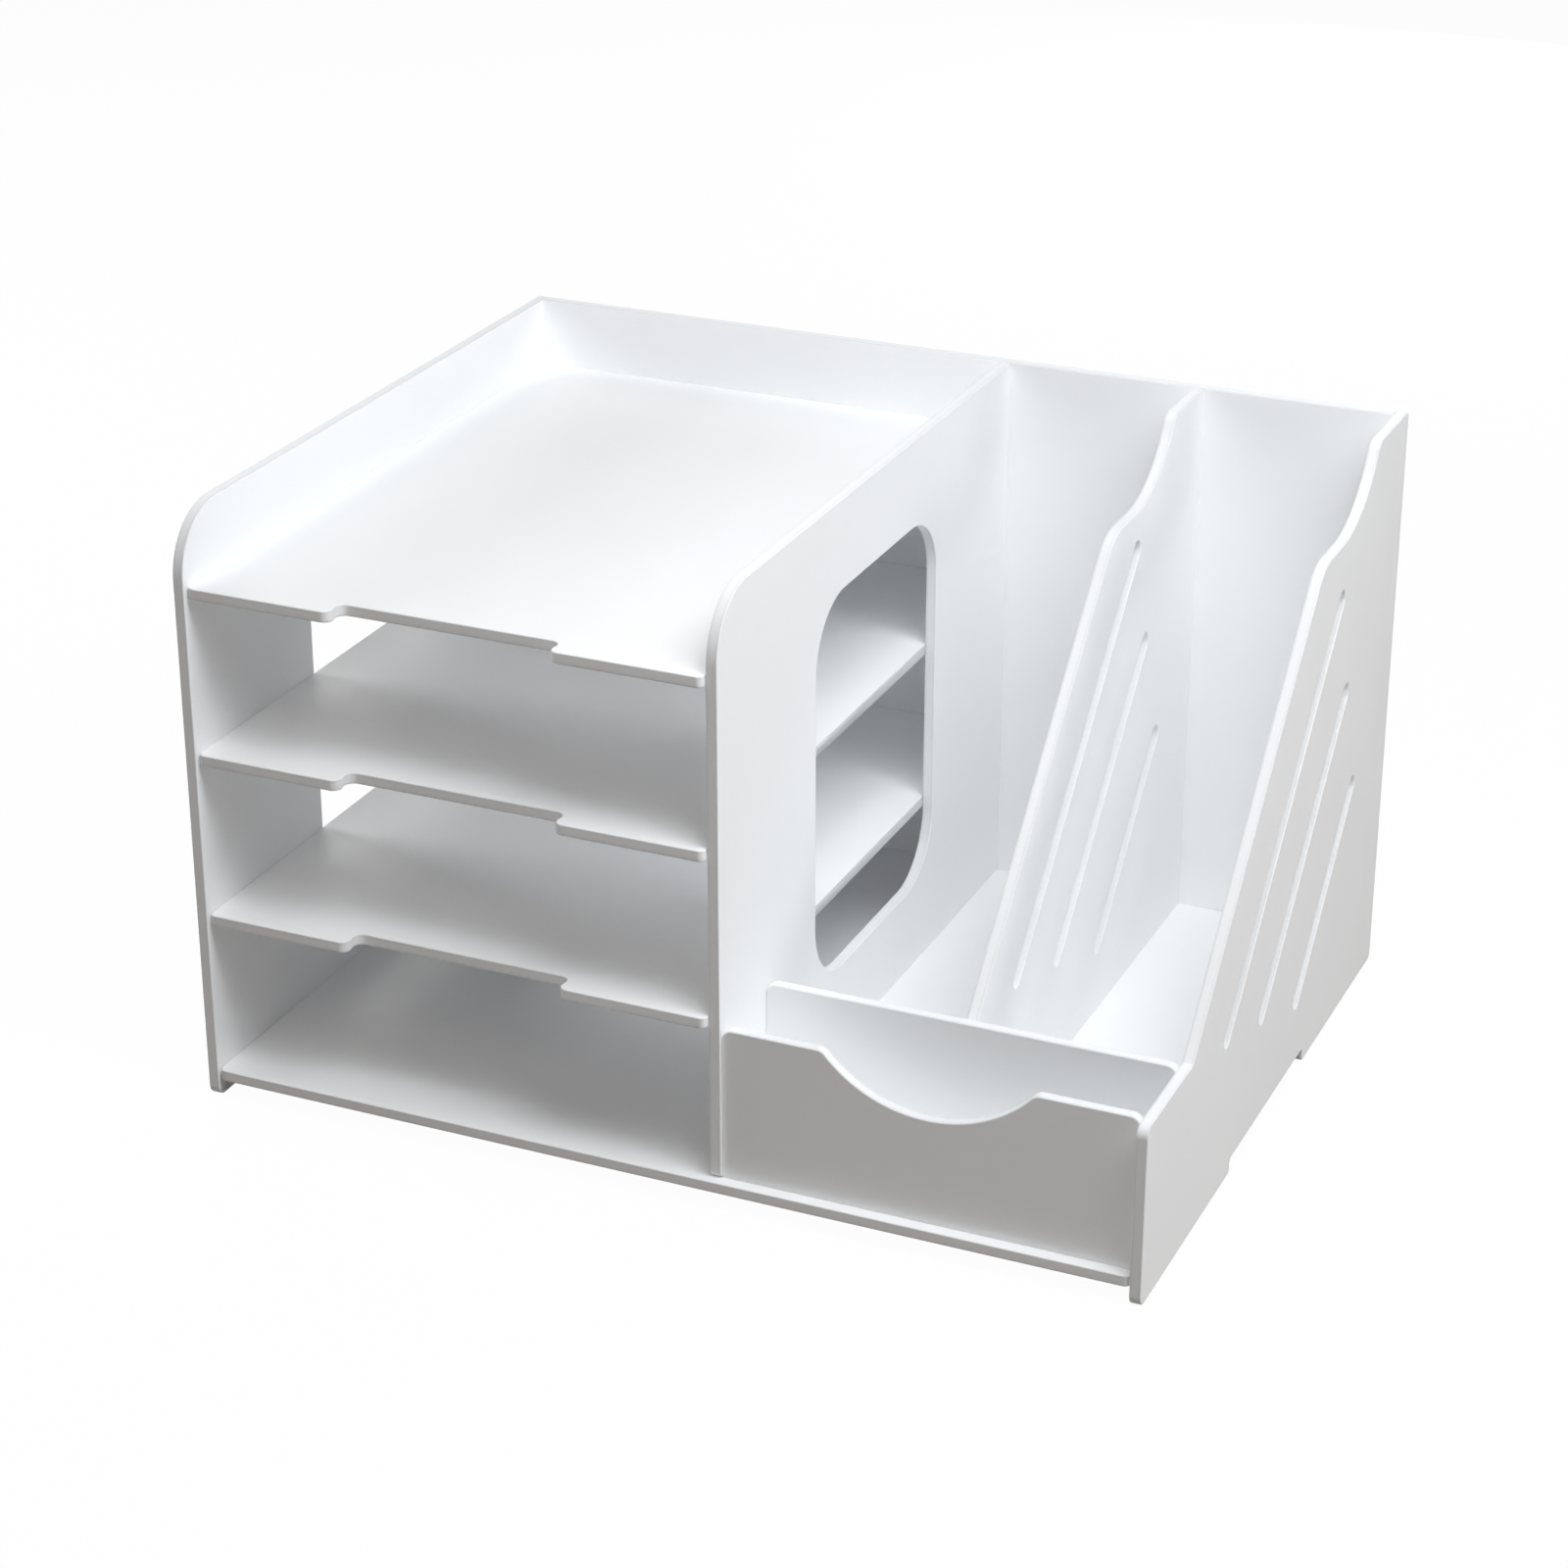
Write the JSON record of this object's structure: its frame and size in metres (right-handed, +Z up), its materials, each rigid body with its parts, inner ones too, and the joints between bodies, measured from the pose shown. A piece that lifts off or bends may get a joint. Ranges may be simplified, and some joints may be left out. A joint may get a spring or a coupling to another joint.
{
  "type": "desktop file basket",
  "caption": "Flat-pack desk organiser in white foam board: stacked paper shelves under an open top tray, a low front tray and sloped magazine bays.",
  "frame": {"origin": "on the desk, at the centre of the footprint", "axes": "+X to the right, where the magazine bays are; +Y to the back; +Z up"},
  "size_m": [0.43, 0.334, 0.271],
  "materials": {
    "foam_board": "satin white foam board, 5 mm, with routed edges"
  },
  "bodies": {
    "root": {"left_side_panel": "foam_board", "middle_panel": "foam_board", "right_side_panel": "foam_board", "magazine_divider": "foam_board", "back_panel": "foam_board", "bottom_panel": "foam_board", "lower_shelf": "foam_board", "middle_shelf": "foam_board", "top_shelf": "foam_board", "front_tray_wall": "foam_board", "inner_tray_wall": "foam_board"}
  },
  "joints": []
}
